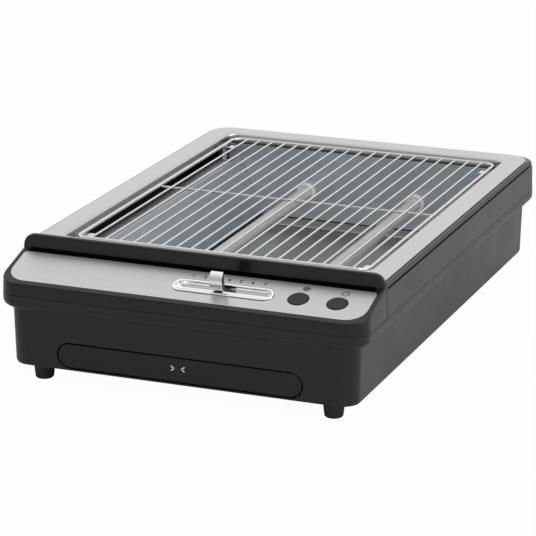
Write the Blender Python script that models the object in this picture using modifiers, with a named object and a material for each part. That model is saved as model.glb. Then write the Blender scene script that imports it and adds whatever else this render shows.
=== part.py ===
"""A flat countertop toaster: a loose wire rack over two quartz heaters in an open well,
a sloping steel control panel in front, and a crumb tray that pulls out under it.

Metres, Z up, the front faces -Y, and the feet stand on Z = 0.
"""
import math

import bmesh
import bpy
from mathutils import Matrix, Vector

for old in list(bpy.data.objects):
    bpy.data.objects.remove(old)

# Clearances
seat_gap = 0.0003
cut_overrun = 0.0020
weld_distance = 0.00001

# Lower housing
housing_width = 0.2650
housing_depth = 0.3970
foot_height = 0.0115
lower_height = 0.0503
wall = 0.0025
floor_thickness = 0.0025
bottom_side_inset = 0.0076
bottom_front_inset = 0.0035
bottom_back_inset = 0.0046
rim_band = 0.0126
rim_shoulder = 0.0046
rim_fillet = 0.0034
rim_fillet_share = 0.28
wall_draft_share = 0.12
bottom_edge_radius = 0.0022
parting_corner_radius = 0.0140
bottom_corner_radius = 0.0126
vent_rows = 3
vent_columns = 7
vent_length = 0.0260
vent_width = 0.0034
vent_pitch_x = 0.0150
vent_pitch_y = 0.0900

# Upper bezel
bezel_side_taper = 0.0006
bezel_front_taper = 0.0012
bezel_back_inset = 0.0015
bezel_edge_radius = 0.0015
bezel_back_corner_radius = 0.0130
bezel_back_round = 0.0070
back_round_corner_share = 0.5
bezel_wall = 0.0028
deck_thickness = 0.0032
deck_edge_radius = 0.0009
groove_drop = 0.0040
groove_width = 0.0018
groove_depth = 0.0016

# Guard rail between the panel and the trim
rail_place = 0.0415
rail_depth = 0.0050
rail_tail = 0.0087
rail_rise = 0.0113
rail_root = 0.0090
rail_end_radius = 0.0085
rail_edge_radius = 0.0016
rail_recess_rise = 0.0022
rail_recess_depth = 0.0028

# Control panel
panel_back_gap = 0.0035
panel_front_gap = 0.0049
panel_side_gap = 0.0039
panel_back_height = 0.0706
panel_front_height = 0.0605
panel_thickness = 0.0008
panel_sink = 0.0005
panel_front_corner = 0.0140
panel_back_corner = 0.0030
panel_clearance = 0.0004

# Browning slider, placed in the panel's plane
slider_middle_x = 0.0255
slider_drop = 0.0177
dish_length = 0.0730
dish_width = 0.0140
dish_rim = 0.0012
dish_proud = 0.0007
dish_depth = 0.0022
dish_floor = 0.0008
slit_length = 0.0590
slit_width = 0.0022
slit_offset = 0.0026
number_count = 7
number_pitch = 0.0086
knob_place = 0.0230
knob_width = 0.0088
knob_depth = 0.0064
knob_height = 0.0150
knob_band = 0.0010
knob_lift = -0.0010
knob_steps = 8
core_inset = 0.0003
stem_width = 0.0060
stem_thickness = 0.0014
stem_shoulder = 0.0015
wiper_width = 0.0040
wiper_depth = 0.0020

# Buttons
button_diameter = 0.0140
button_clearance = 0.0004
button_travel = 0.0015
button_proud = 0.0006
button_lip = 0.0008
button_dish = 0.0020
button_skirt = 0.0030
button_stem_diameter = 0.0050
button_gap = 0.0100
button_pitch = 0.0273

# Circuit board, and what stands on it
board_drop = 0.0185
board_thickness = 0.0016
board_front_reach = 0.0024
board_length = 0.0304
board_side_margin = 0.0057
board_post_diameter = 0.0060
board_post_inset = 0.0055
pot_length = 0.0700
pot_width = 0.0090
pot_height = 0.0065
switch_side = 0.0062
switch_height = 0.0040
relay_gap = 0.0230
relay_length = 0.0190
relay_width = 0.0155
relay_height = 0.0100
capacitor_gap = 0.0210
capacitor_length = 0.0180
capacitor_width = 0.0080
capacitor_height = 0.0110
component_edge_radius = 0.0008

# Steel trim round the well
trim_top_height = 0.0760
trim_thickness = 0.0007
trim_side_margin = 0.0023
trim_front_margin = 0.0005
trim_back_margin = 0.0086
trim_side_border = 0.0166
trim_front_border = 0.0185
trim_back_border = 0.0172
trim_back_corner = 0.0150
trim_front_corner = 0.0030
trim_edge_radius = 0.0003
opening_corner = 0.0070
fold_radius = 0.0020
fold_steps = 3
flange_depth = 0.0090
flange_clearance = 0.0012

# Rack
rack_drop = 0.0035
rack_side_clearance = 0.0055
rack_front_clearance = 0.0097
rack_back_clearance = 0.0026
rack_corner_radius = 0.0070
rim_rod_diameter = 0.0026
wire_diameter = 0.0018
wire_count = 19
weld_sink = 0.0006
cross_wire_drop = 0.0014

# Rack clips
clip_height = 0.0127
clip_width = 0.0080
clip_sheet = 0.0010
clip_reach = 0.0075
clip_front_inset = 0.0126
clip_back_inset = 0.0186

# Reflector
sheet = 0.0008
ledge_width = 0.0118
ledge_clearance = 0.0007
well_front_inset = 0.0050
well_back_inset = 0.0062
well_lean = 0.0170
well_bottom_height = 0.0165
reflector_lip = 0.0022
reflector_lip_lean = 0.0004
plate_rise = 0.0093
plate_hem = 0.0025
plate_side_clearance = 0.0013
plate_arch_clearance = 0.0016
plate_arch_height = 0.0140

# Heaters
heater_spacing = 0.0900
heater_drop = 0.0365
tube_diameter = 0.0098
tube_wall = 0.0012
coil_diameter = 0.0050
coil_wire = 0.0009
coil_turns = 12
coil_points_per_turn = 8
holder_diameter = 0.0150
holder_disc = 0.0032
holder_edge = 0.0006
holder_neck_diameter = 0.0114
holder_neck = 0.0070
holder_bore_depth = 0.0045
lead_clearance = 0.0005

# Crumb tray
tray_front_length = 0.1770
tray_front_height = 0.0167
tray_front_middle = 0.0113
tray_front_thickness = 0.0040
tray_front_proud = 0.0004
tray_front_edge = 0.0008
tray_front_gap = 0.0009
tray_side_inset = 0.0040
tray_sheet = 0.0008
tray_wall_height = 0.0076
tray_corner_radius = 0.0030
tray_push = 0.0030
tongue_length = 0.0060
tongue_reach = 0.0014
tongue_width = 0.0080
tongue_height = 0.0036

# Runners and latch
runner_strip_width = 0.0090
runner_strip = 0.0010
runner_guide_height = 0.0075
runner_guide = 0.0012
runner_clearance = 0.0012
runner_front_inset = 0.0100
runner_back_inset = 0.0020
latch_width = 0.0260
latch_height = 0.0120
latch_depth = 0.0165
latch_clearance = 0.0008

# Feet
foot_side_inset = 0.0267
foot_front_inset = 0.0175
foot_back_inset = 0.0185
foot_top_diameter = 0.0150
foot_bottom_diameter = 0.0128
foot_edge = 0.0009

# Screws and their columns
screw_side_inset = 0.0153
screw_front_offset = 0.0055
screw_back_inset = 0.0385
screw_head_diameter = 0.0062
screw_head_height = 0.0018
screw_head_edge = 0.0007
screw_shank_diameter = 0.0030
screw_length = 0.0120
screw_tip = 0.0012
column_diameter = 0.0072

# Heat shield
shield_offset = 0.0120
shield_sheet = 0.0008
shield_side_clearance = 0.0038
shield_foot = 0.0080
shield_leg_width = 0.0155
shield_arch_height = 0.0230
shield_drop = 0.0080

# Cord gland and terminal block
gland_x = -0.0900
gland_height = 0.0200
gland_flange_diameter = 0.0170
gland_flange = 0.0024
gland_edge = 0.0009
gland_seat = 0.0006
gland_neck_diameter = 0.0120
gland_neck = 0.0070
gland_bore_diameter = 0.0072
terminal_length = 0.0240
terminal_width = 0.0092
terminal_height = 0.0120
terminal_gap = 0.0030
terminal_hole_diameter = 0.0034
terminal_count = 3

# How finely round forms are cut
corner_steps = 6
edge_steps = 2
shoulder_steps = 5
fillet_steps = 3
stadium_steps = 8
slot_steps = 3
bead_steps = 5
small_sides = 12
tube_sides = 16
round_sides = 20
rod_resolution = 2
coil_resolution = 1
crease_angle = math.radians(35)
flat_angle = math.radians(0.5)

# Heights above the table
base_z = foot_height
floor_top_z = base_z + floor_thickness
parting_z = base_z + lower_height
bezel_base_z = parting_z + seat_gap
trim_top_z = base_z + trim_top_height
bezel_top_z = trim_top_z - trim_thickness - seat_gap
flange_bottom_z = trim_top_z - flange_depth
rack_z = trim_top_z - rack_drop
ledge_z = rack_z - clip_height
heater_z = rack_z - heater_drop
plate_top_z = ledge_z + plate_rise
well_bottom_z = base_z + well_bottom_height
panel_back_z = base_z + panel_back_height
tray_front_z = base_z + tray_front_middle
runner_z = floor_top_z + seat_gap
tray_bottom_z = runner_z + runner_strip + seat_gap

# Widths, from the middle outward
housing_half_width = housing_width / 2
bottom_half_width = housing_half_width - bottom_side_inset
bezel_top_half_width = housing_half_width - bezel_side_taper
panel_half_width = housing_half_width - panel_side_gap
trim_half_width = bezel_top_half_width - trim_side_margin
opening_half_width = trim_half_width - trim_side_border
rack_half_width = opening_half_width - rack_side_clearance
ledge_half_width = opening_half_width - ledge_clearance
well_top_half_width = ledge_half_width - ledge_width
well_bottom_half_width = well_top_half_width - well_lean
tray_half_width = tray_front_length / 2 - tray_side_inset
screw_x = housing_half_width - screw_side_inset
foot_x = housing_half_width - foot_side_inset

# Depths, from the front to the back
housing_half_depth = housing_depth / 2
bottom_front_y = bottom_front_inset - housing_half_depth
bottom_back_y = housing_half_depth - bottom_back_inset
rail_front_y = rail_place - housing_half_depth
rail_back_y = rail_front_y + rail_depth
panel_back_y = rail_front_y - panel_back_gap
panel_front_y = panel_front_gap - housing_half_depth
trim_front_y = rail_back_y + trim_front_margin
trim_back_y = housing_half_depth - bezel_back_inset - trim_back_margin
opening_front_y = trim_front_y + trim_front_border
opening_back_y = trim_back_y - trim_back_border
rack_front_y = opening_front_y + rack_front_clearance
rack_back_y = opening_back_y - rack_back_clearance
well_front_y = opening_front_y + well_front_inset
well_back_y = opening_back_y - well_back_inset
shield_y = well_front_y - shield_offset
tray_face_y = bottom_front_y - tray_front_proud
pan_front_y = tray_face_y + tray_front_thickness + seat_gap
latch_back_y = bottom_back_y - wall - seat_gap
latch_front_y = latch_back_y - latch_depth
pan_back_y = latch_front_y + tongue_reach - tongue_length
screw_front_y = rail_back_y + screw_front_offset
screw_back_y = housing_half_depth - screw_back_inset

# The panel's own plane: its origin is the middle of the back edge, and -Y runs down the slope
panel_run = panel_back_y - panel_front_y
panel_rise = panel_back_height - panel_front_height
panel_length = math.hypot(panel_run, panel_rise)
panel_slope = math.atan2(panel_rise, panel_run)
panel_frame = Matrix.Translation((0, panel_back_y, panel_back_z)) @ Matrix.Rotation(panel_slope, 4, 'X')
slit_drop = slider_drop + slit_offset
board_top = -board_drop
board_front = -panel_length - board_front_reach
board_back = board_front + board_length
defrost_x = slider_middle_x + dish_length / 2 + button_gap + button_diameter / 2
power_x = defrost_x + button_pitch
board_right = power_x + board_side_margin
pot_left = slider_middle_x - pot_length / 2
capacitor_x = pot_left - capacitor_gap - capacitor_length / 2
relay_x = capacitor_x - capacitor_length / 2 - relay_gap - relay_length / 2
board_left = relay_x - relay_length / 2 - 2 * board_side_margin

# Turned frames: upright stands a flat outline in X and Z, sideways stands one in Y and Z
upright = Matrix.Rotation(math.radians(90), 4, 'X')
sideways = Matrix.Rotation(math.radians(120), 4, (1, 1, 1))

parts = bpy.data.collections.new("toaster")
cutters = bpy.data.collections.new("cutters")
bpy.context.scene.collection.children.link(parts)
bpy.context.scene.collection.children.link(cutters)


def material(name, colour, metallic, roughness):
    """A plain surface of one colour."""
    surface = bpy.data.materials.new(name)
    surface.use_nodes = True
    shader = surface.node_tree.nodes["Principled BSDF"]
    shader.inputs["Base Color"].default_value = (*colour, 1)
    shader.inputs["Metallic"].default_value = metallic
    shader.inputs["Roughness"].default_value = roughness
    return surface


black_plastic = material("black_plastic", (0.030, 0.030, 0.032), 0, 0.45)
dark_plastic = material("dark_plastic", (0.020, 0.020, 0.021), 0, 0.35)
brushed_steel = material("brushed_steel", (0.62, 0.61, 0.60), 1, 0.32)
bright_chrome = material("bright_chrome", (0.80, 0.80, 0.80), 1, 0.12)
reflector_steel = material("reflector_steel", (0.55, 0.57, 0.58), 1, 0.22)
plated_steel = material("plated_steel", (0.58, 0.58, 0.57), 1, 0.38)
milky_quartz = material("milky_quartz", (0.80, 0.80, 0.78), 0, 0.25)
white_ceramic = material("white_ceramic", (0.86, 0.84, 0.80), 0, 0.55)
heating_alloy = material("heating_alloy", (0.30, 0.27, 0.25), 1, 0.45)
soft_rubber = material("soft_rubber", (0.025, 0.025, 0.025), 0, 0.75)
board_laminate = material("board_laminate", (0.05, 0.20, 0.09), 0, 0.50)
part_moulding = material("part_moulding", (0.09, 0.09, 0.10), 0, 0.40)


def keep(name, builder, surface=None, place=None):
    """Makes an object of a mesh, faces outward: a part if it has a surface, else a cutter."""
    bmesh.ops.recalc_face_normals(builder, faces=builder.faces)
    mesh = bpy.data.meshes.new(name)
    builder.to_mesh(mesh)
    builder.free()
    if surface:
        mesh.materials.append(surface)
    thing = bpy.data.objects.new(name, mesh)
    thing.matrix_world = place or Matrix()
    (parts if surface else cutters).objects.link(thing)
    return thing


def settle(draft, surface=None, place=None, flatten=True):
    """Turns a curve or a turned profile into one closed mesh, with its caps welded."""
    bpy.context.scene.collection.objects.link(draft)
    name = draft.name
    source = draft.data
    mesh = bpy.data.meshes.new_from_object(draft.evaluated_get(bpy.context.evaluated_depsgraph_get()))
    bpy.data.objects.remove(draft)
    if isinstance(source, bpy.types.Curve):
        bpy.data.curves.remove(source)
    else:
        bpy.data.meshes.remove(source)
    builder = bmesh.new()
    builder.from_mesh(mesh)
    bpy.data.meshes.remove(mesh)
    bmesh.ops.remove_doubles(builder, verts=builder.verts, dist=weld_distance)
    if flatten:
        bmesh.ops.dissolve_limit(builder, angle_limit=flat_angle, verts=builder.verts, edges=builder.edges)
    return keep(name, builder, surface, place)


def trace(curve, points, closed):
    """Lays one straight-edged line through points on a curve."""
    line = curve.splines.new('POLY')
    line.points.add(len(points) - 1)
    for spot, point in zip(line.points, points):
        spot.co = (*point, 1)
    line.use_cyclic_u = closed


def plate(name, outline, low, high, surface=None, place=None):
    """A flat outline between two heights."""
    curve = bpy.data.curves.new(name, 'CURVE')
    curve.dimensions = '2D'
    curve.fill_mode = 'BOTH'
    curve.extrude = (high - low) / 2
    trace(curve, [(x, y, 0) for x, y in outline], True)
    lift = Matrix.Translation((0, 0, (low + high) / 2))
    return settle(bpy.data.objects.new(name, curve), surface, (place or Matrix()) @ lift)


def slab(name, outline, near, far, surface=None, place=None):
    """A flat outline in X and Z between two depths, such as a bent sheet."""
    return plate(name, outline, -far, -near, surface, (place or Matrix()) @ upright)


def rod(name, path, diameter, resolution, surface=None, closed=False):
    """A round wire along a path."""
    curve = bpy.data.curves.new(name, 'CURVE')
    curve.dimensions = '3D'
    curve.bevel_depth = diameter / 2
    curve.bevel_resolution = resolution
    curve.use_fill_caps = True
    trace(curve, path, closed)
    return settle(bpy.data.objects.new(name, curve), surface, None, False)


def turned(name, profile, sides, surface=None, place=None, hollow=False):
    """Turns a profile of (radius, height) pairs round Z, with smooth sides."""
    points = [(radius, 0, height) for radius, height in profile]
    if not hollow:
        points = [(0, 0, points[0][2])] + points + [(0, 0, points[-1][2])]
    edges = [(k, k + 1) for k in range(len(points) - 1)]
    if hollow:
        edges.append((len(points) - 1, 0))
    mesh = bpy.data.meshes.new(name)
    mesh.from_pydata(points, edges, [])
    draft = bpy.data.objects.new(name, mesh)
    screw = draft.modifiers.new("screw", 'SCREW')
    screw.steps = sides
    screw.render_steps = sides
    screw.use_merge_vertices = True
    screw.merge_threshold = weld_distance
    thing = settle(draft, surface, place, not hollow)
    return smooth(thing)


def box(name, low, high, surface=None, place=None):
    """A block between two corners."""
    low, high = Vector(low), Vector(high)
    builder = bmesh.new()
    bmesh.ops.create_cube(builder, size=1, matrix=Matrix.Diagonal((*(high - low), 1)))
    return keep(name, builder, surface, (place or Matrix()) @ Matrix.Translation((low + high) / 2))


def cylinder(name, radius, length, sides, place):
    """A round bar or hole that starts at a frame's origin and runs along its Z."""
    builder = bmesh.new()
    lift = Matrix.Translation((0, 0, length / 2))
    bmesh.ops.create_cone(builder, cap_ends=True, segments=sides, radius1=radius, radius2=radius,
                          depth=length, matrix=lift)
    return keep(name, builder, None, place)


def loft(name, rings, surface=None, closed=False, place=None):
    """Joins unlike sections into one solid, with capped ends unless it closes on itself."""
    builder = bmesh.new()
    loops = [[builder.verts.new(point) for point in ring] for ring in rings]
    following = loops[1:] + loops[:1] if closed else loops[1:]
    for near, far in zip(loops, following):
        for k in range(len(near)):
            after = (k + 1) % len(near)
            builder.faces.new((near[k], near[after], far[after], far[k]))
    if not closed:
        builder.faces.new(loops[0][::-1])
        builder.faces.new(loops[-1])
    return keep(name, builder, surface, place)


def smooth(thing):
    """Shades a round piece smooth, with its sharp edges kept."""
    thing.data.shade_smooth()
    thing.data.set_sharp_from_angle(angle=crease_angle)
    return thing


def round_edges(thing, radius):
    """Rounds a piece's sharp edges."""
    bevel = thing.modifiers.new("bevel", 'BEVEL')
    bevel.width = radius
    bevel.segments = edge_steps
    bevel.limit_method = 'ANGLE'
    bevel.angle_limit = crease_angle
    return thing


def combine(thing, others, operation):
    """Adds to or cuts from a piece, with the other solids kept out of sight."""
    tools = bpy.data.collections.new(thing.name + "_" + operation.lower())
    cutters.children.link(tools)
    for other in others:
        cutters.objects.unlink(other)
        tools.objects.link(other)
        other.hide_render = True
        other.display_type = 'WIRE'
    change = thing.modifiers.new(operation.lower(), 'BOOLEAN')
    change.operation = operation
    change.solver = 'EXACT'
    change.operand_type = 'COLLECTION'
    change.collection = tools
    return thing


def hang(things, name, place):
    """Hangs moving pieces on an empty that stands on their joint."""
    joint = bpy.data.objects.new(name, None)
    joint.empty_display_size = wall
    joint.location = place
    parts.objects.link(joint)
    for thing in things:
        thing.parent = joint
        thing.matrix_parent_inverse = Matrix.Translation(place).inverted()


def aimed(centre, axis):
    """A frame at a centre, with its Z along an axis."""
    turn = Vector((0, 0, 1)).rotation_difference(Vector(axis))
    return Matrix.Translation(centre) @ turn.to_matrix().to_4x4()


def quarter(steps):
    """Cosine and sine through a quarter turn."""
    turns = [math.radians(90) * k / steps for k in range(steps + 1)]
    return [(math.cos(turn), math.sin(turn)) for turn in turns]


def rounded_rectangle(half_width, front, back, front_radius, back_radius):
    """Points round a rectangle with round corners, from its right front corner."""
    corners = (
        (half_width - front_radius, front + front_radius, front_radius, -90),
        (half_width - back_radius, back - back_radius, back_radius, 0),
        (back_radius - half_width, back - back_radius, back_radius, 90),
        (front_radius - half_width, front + front_radius, front_radius, 180),
    )
    points = []
    for x, y, radius, start in corners:
        for k in range(corner_steps + 1):
            turn = math.radians(start + 90 * k / corner_steps)
            points.append((x + radius * math.cos(turn), y + radius * math.sin(turn)))
    return points


def stadium(length, width, steps, middle=(0, 0)):
    """Points round a slot with half-round ends."""
    radius = width / 2
    reach = length / 2 - radius
    points = []
    for side, start in ((1, -90), (-1, 90)):
        for k in range(steps + 1):
            turn = math.radians(start + 180 * k / steps)
            x = side * reach + radius * math.cos(turn)
            points.append((middle[0] + x, middle[1] + radius * math.sin(turn)))
    return points


def level(points, height):
    """Lifts flat points to one height."""
    return [(x, y, height) for x, y in points]


def lower_outline(flare, inset=0):
    """The lower housing's outline, from its bottom at 0 to its flared rim at 1."""
    half_width = bottom_half_width + bottom_side_inset * flare - inset
    front = bottom_front_y - bottom_front_inset * flare + inset
    back = bottom_back_y + bottom_back_inset * flare - inset
    radius = bottom_corner_radius + (parting_corner_radius - bottom_corner_radius) * flare
    radius = max(radius - inset, bottom_edge_radius)
    return rounded_rectangle(half_width, front, back, radius, radius)


def screw_places():
    """Where the four housing screws go up through the floor."""
    return [(side * screw_x, y) for side in (-1, 1) for y in (screw_front_y, screw_back_y)]


def make_vents():
    """A block of slots through the floor, as one repeated cutter."""
    outline = [(-y, x) for x, y in stadium(vent_length, vent_width, slot_steps)]
    start_x = -(vent_columns - 1) * vent_pitch_x / 2
    start_y = -(vent_rows - 1) * vent_pitch_y / 2
    place = Matrix.Translation((start_x, start_y, base_z))
    vent = plate("vents", outline, -cut_overrun, floor_thickness + cut_overrun, None, place)
    for count, step in ((vent_columns, (vent_pitch_x, 0, 0)), (vent_rows, (0, vent_pitch_y, 0))):
        repeat = vent.modifiers.new("repeat", 'ARRAY')
        repeat.count = count
        repeat.use_relative_offset = False
        repeat.use_constant_offset = True
        repeat.constant_offset_displace = step
    return vent


def make_lower_housing():
    """The tub: a flared rim, the tray's mouth, vents, screw holes and the cord's way out."""
    rings = []
    for cosine, sine in quarter(edge_steps):
        inset = bottom_edge_radius * (1 - sine)
        rings.append(level(lower_outline(0, inset), base_z + bottom_edge_radius * (1 - cosine)))
    fillet_z = parting_z - rim_band
    shoulder_z = fillet_z + rim_fillet
    for cosine, sine in quarter(fillet_steps):
        share = wall_draft_share + (rim_fillet_share - wall_draft_share) * (1 - cosine)
        rings.append(level(lower_outline(share), fillet_z + rim_fillet * sine))
    for cosine, sine in quarter(shoulder_steps)[1:]:
        share = rim_fillet_share + (1 - rim_fillet_share) * sine
        rings.append(level(lower_outline(share), shoulder_z + rim_shoulder * (1 - cosine)))
    rings.append(level(lower_outline(1), parting_z))
    rings.append(level(lower_outline(0, wall), parting_z))
    rings.append(level(lower_outline(0, wall), floor_top_z))
    housing = loft("lower_housing", rings, black_plastic)
    around = 2 * tray_front_gap
    mouth = stadium(tray_front_length + around, tray_front_height + around, stadium_steps)
    mouth = [(x, z + tray_front_z) for x, z in mouth]
    holes = [make_vents(), slab("tray_mouth", mouth, tray_face_y - cut_overrun, bottom_front_y + 2 * wall)]
    for k, (x, y) in enumerate(screw_places()):
        place = Matrix.Translation((x, y, base_z - cut_overrun))
        radius = screw_shank_diameter / 2 + seat_gap
        length = floor_thickness + 2 * cut_overrun
        holes.append(cylinder("floor_hole_%d" % k, radius, length, small_sides, place))
    place = aimed((gland_x, bottom_back_y - 2 * wall, base_z + gland_height), (0, 1, 0))
    holes.append(cylinder("gland_hole", gland_neck_diameter / 2 + seat_gap, 3 * wall, round_sides, place))
    return combine(housing, holes, 'DIFFERENCE')


def bezel_lean(z):
    """How far up the bezel's wall a height lies, from 0 to 1."""
    return (z - bezel_base_z) / (bezel_top_z - bezel_base_z)


def slope_z(y, lift=0):
    """The height of the panel's plane at a depth, lifted along its normal."""
    return panel_back_z + (y - panel_back_y) * math.tan(panel_slope) + lift / math.cos(panel_slope)


def front_ring(inset, back, lift, base=None):
    """One section of the sloping front, along the slope or at a level base."""
    depth = back + housing_half_depth
    radius = parting_corner_radius
    ring = []
    for x, y in rounded_rectangle(housing_half_width, -housing_half_depth, back, radius, bezel_wall):
        z = slope_z(y, lift) if base is None else base
        lean = bezel_lean(z)
        side = inset + bezel_side_taper * lean
        if y > back - bezel_wall - seat_gap:
            side += seat_gap
        else:
            y = back + (y - back) * (1 - (bezel_front_taper * lean + inset) / depth)
        ring.append((x * (1 - side / housing_half_width), y, z))
    return ring


def make_front_block(name, inset, back, drop, base, surface=None):
    """The wedge under the control panel, with its upper edge rounded."""
    top = panel_sink - drop
    rings = [front_ring(inset, back, 0, base)]
    for cosine, sine in quarter(edge_steps):
        across = bezel_edge_radius * (1 - cosine)
        rings.append(front_ring(inset + across, back, top - bezel_edge_radius * (1 - sine)))
    return loft(name, rings, surface)


def back_round(z):
    """How far the bezel's back has rounded in towards its top."""
    rise = max(0, (z - bezel_top_z) / bezel_back_round + 1)
    return bezel_back_round * (1 - math.sqrt(max(0, 1 - rise * rise)))


def rear_outline(z, inset):
    """The outline of the bezel behind the guard rail."""
    lean = bezel_lean(z)
    half_width = housing_half_width - bezel_side_taper * lean - inset
    back = housing_half_depth - bezel_back_inset * lean - inset - back_round(z)
    radius = parting_corner_radius + (bezel_back_corner_radius - parting_corner_radius) * lean - inset
    radius += back_round_corner_share * back_round(z)
    return rounded_rectangle(half_width, rail_front_y + bezel_wall, back, bezel_wall, radius)


def make_rear_block():
    """The frame behind the guard rail, with a groove under its upper edge."""
    groove_z = bezel_top_z - groove_drop
    half = groove_width / 2
    stops = [(bezel_base_z, 0), (bezel_top_z - bezel_back_round, 0), (groove_z - half, 0),
             (groove_z - half, groove_depth), (groove_z + half, groove_depth), (groove_z + half, 0),
             ((groove_z + half + bezel_top_z - deck_edge_radius) / 2, 0)]
    for cosine, sine in quarter(edge_steps):
        stops.append((bezel_top_z - deck_edge_radius * (1 - sine), deck_edge_radius * (1 - cosine)))
    return loft("rear_block", [level(rear_outline(z, inset), z) for z, inset in stops])


def make_rail():
    """The raised guard rail, with rounded ends and edges."""
    top = panel_back_z + rail_rise
    low = panel_back_z - rail_root
    reach = bezel_top_half_width - rail_end_radius
    outline = [(bezel_top_half_width, low)]
    for side, start in ((1, 0), (-1, 90)):
        for k in range(corner_steps + 1):
            turn = math.radians(start + 90 * k / corner_steps)
            x = side * reach + rail_end_radius * math.cos(turn)
            outline.append((x, top - rail_end_radius * (1 - math.sin(turn))))
    outline.append((-bezel_top_half_width, low))
    return round_edges(slab("rail_block", outline, rail_front_y, rail_back_y), rail_edge_radius)


def post_places():
    """Where the board's four posts stand, on the panel's plane."""
    front = board_front + board_post_inset
    back = board_back - board_post_inset
    left = board_left + board_post_inset
    right = (defrost_x + power_x) / 2
    return [(left, front), (left, back), (right, front), (right, back)]


def make_upper_bezel():
    """The moulded top: sloping front, guard rail, deck round the well, posts and columns."""
    bezel = make_front_block("upper_bezel", 0, rail_front_y + rail_tail, 0, bezel_base_z, black_plastic)
    joined = [make_rear_block(), make_rail()]

    low = bezel_base_z - cut_overrun
    hollow = [make_front_block("front_hollow", bezel_wall, panel_back_y + panel_clearance,
                               deck_thickness + panel_thickness, low)]
    ceiling = bezel_top_z - deck_thickness
    rear_front = rail_front_y + rail_recess_depth + bezel_wall
    sections = []
    for z, inset in ((low, bezel_wall), (ceiling, bezel_wall + groove_depth)):
        back = housing_half_depth - bezel_back_inset * bezel_lean(z) - inset
        half_width = bezel_top_half_width - inset
        outline = rounded_rectangle(half_width, rear_front, back, wall, bottom_corner_radius)
        sections.append(level(outline, z))
    hollow.append(loft("rear_hollow", sections))
    outline = rounded_rectangle(panel_half_width + panel_clearance, -panel_length - panel_clearance,
                                panel_clearance, panel_front_corner + panel_clearance,
                                panel_back_corner + panel_clearance)
    pocket_floor = -panel_thickness - seat_gap
    hollow.append(plate("panel_pocket", outline, pocket_floor, 2 * panel_thickness, None, panel_frame))
    reach = panel_half_width - rail_recess_depth
    hollow.append(box("rail_recess",
                      (-reach, panel_back_y - panel_clearance, panel_back_z - rail_recess_depth),
                      (reach, rail_front_y + rail_recess_depth, panel_back_z + rail_recess_rise)))
    outline = stadium(dish_length - dish_rim, dish_width - dish_rim, stadium_steps,
                      (slider_middle_x, -slider_drop))
    hollow.append(plate("dish_hole", outline, board_top, panel_thickness, None, panel_frame))
    for k, x in enumerate((defrost_x, power_x)):
        place = panel_frame @ Matrix.Translation((x, -slider_drop, board_top))
        radius = button_diameter / 2 + 2 * button_clearance
        length = board_drop + panel_thickness
        hollow.append(cylinder("button_hole_%d" % k, radius, length, round_sides, place))

    stands = []
    for k, (x, y) in enumerate(screw_places()):
        place = Matrix.Translation((x, y, runner_z))
        length = ceiling + deck_thickness / 2 - runner_z
        stands.append(cylinder("column_%d" % k, column_diameter / 2, length, small_sides, place))
    for k, (x, y) in enumerate(post_places()):
        place = panel_frame @ Matrix.Translation((x, y, board_top + seat_gap))
        length = board_drop - seat_gap - panel_thickness - deck_thickness / 2
        stands.append(cylinder("post_%d" % k, board_post_diameter / 2, length, small_sides, place))

    edge = fold_radius + seat_gap
    mouth = rounded_rectangle(opening_half_width + edge, opening_front_y - edge, opening_back_y + edge,
                              opening_corner + edge, opening_corner + edge)
    bores = [plate("well_mouth", mouth, flange_bottom_z - flange_clearance, bezel_top_z + cut_overrun)]
    for k, (x, y) in enumerate(screw_places()):
        place = Matrix.Translation((x, y, base_z))
        radius = screw_shank_diameter / 2 + seat_gap
        bores.append(cylinder("column_bore_%d" % k, radius, screw_length + cut_overrun, small_sides, place))

    combine(bezel, joined, 'UNION')
    combine(bezel, hollow, 'DIFFERENCE')
    combine(bezel, stands, 'UNION')
    return combine(bezel, bores, 'DIFFERENCE')


def make_control_panel():
    """The steel plate, with its slider and button holes."""
    outline = rounded_rectangle(panel_half_width, -panel_length, 0, panel_front_corner, panel_back_corner)
    panel = plate("control_panel", outline, -panel_thickness, 0, brushed_steel, panel_frame)
    slot = stadium(dish_length - 2 * dish_rim, dish_width - 2 * dish_rim, stadium_steps,
                   (slider_middle_x, -slider_drop))
    holes = [plate("panel_slot", slot, -2 * panel_thickness, panel_thickness, None, panel_frame)]
    for k, x in enumerate((defrost_x, power_x)):
        place = panel_frame @ Matrix.Translation((x, -slider_drop, -2 * panel_thickness))
        radius = button_diameter / 2 + button_clearance
        holes.append(cylinder("panel_hole_%d" % k, radius, 3 * panel_thickness, round_sides, place))
    return combine(panel, holes, 'DIFFERENCE')


def make_slider_surround():
    """The chrome dish: a raised bead on the panel and a sunk floor with a slit."""
    def ring(inset, z):
        middle = (slider_middle_x, -slider_drop)
        return level(stadium(dish_length - 2 * inset, dish_width - 2 * inset, stadium_steps, middle), z)

    neck = dish_rim + seat_gap
    bead = neck + dish_floor
    low = -dish_depth - dish_floor
    rings = [ring(neck, low), ring(neck, seat_gap)]
    for k in range(bead_steps + 1):
        turn = math.radians(180) * k / bead_steps
        rings.append(ring(bead * (1 - math.cos(turn)) / 2, seat_gap + dish_proud * math.sin(turn)))
    rings.append(ring(bead + seat_gap, -dish_depth))
    dish = smooth(loft("slider_surround", rings, bright_chrome, False, panel_frame))
    slit = stadium(slit_length, slit_width, slot_steps, (slider_middle_x, -slit_drop))
    cutter = plate("slit", slit, low - cut_overrun, dish_floor, None, panel_frame)
    return combine(dish, [cutter], 'DIFFERENCE')


def knob_outline(inset):
    """Half an ellipse with its flat at the back, as the knob is seen from its side."""
    middle = knob_lift + knob_height / 2
    points = []
    for k in range(knob_steps + 1):
        turn = math.radians(180) * k / knob_steps
        y = -(knob_depth - inset) * math.sin(turn)
        points.append((y, middle + (knob_height / 2 - inset) * math.cos(turn)))
    return points


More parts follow.
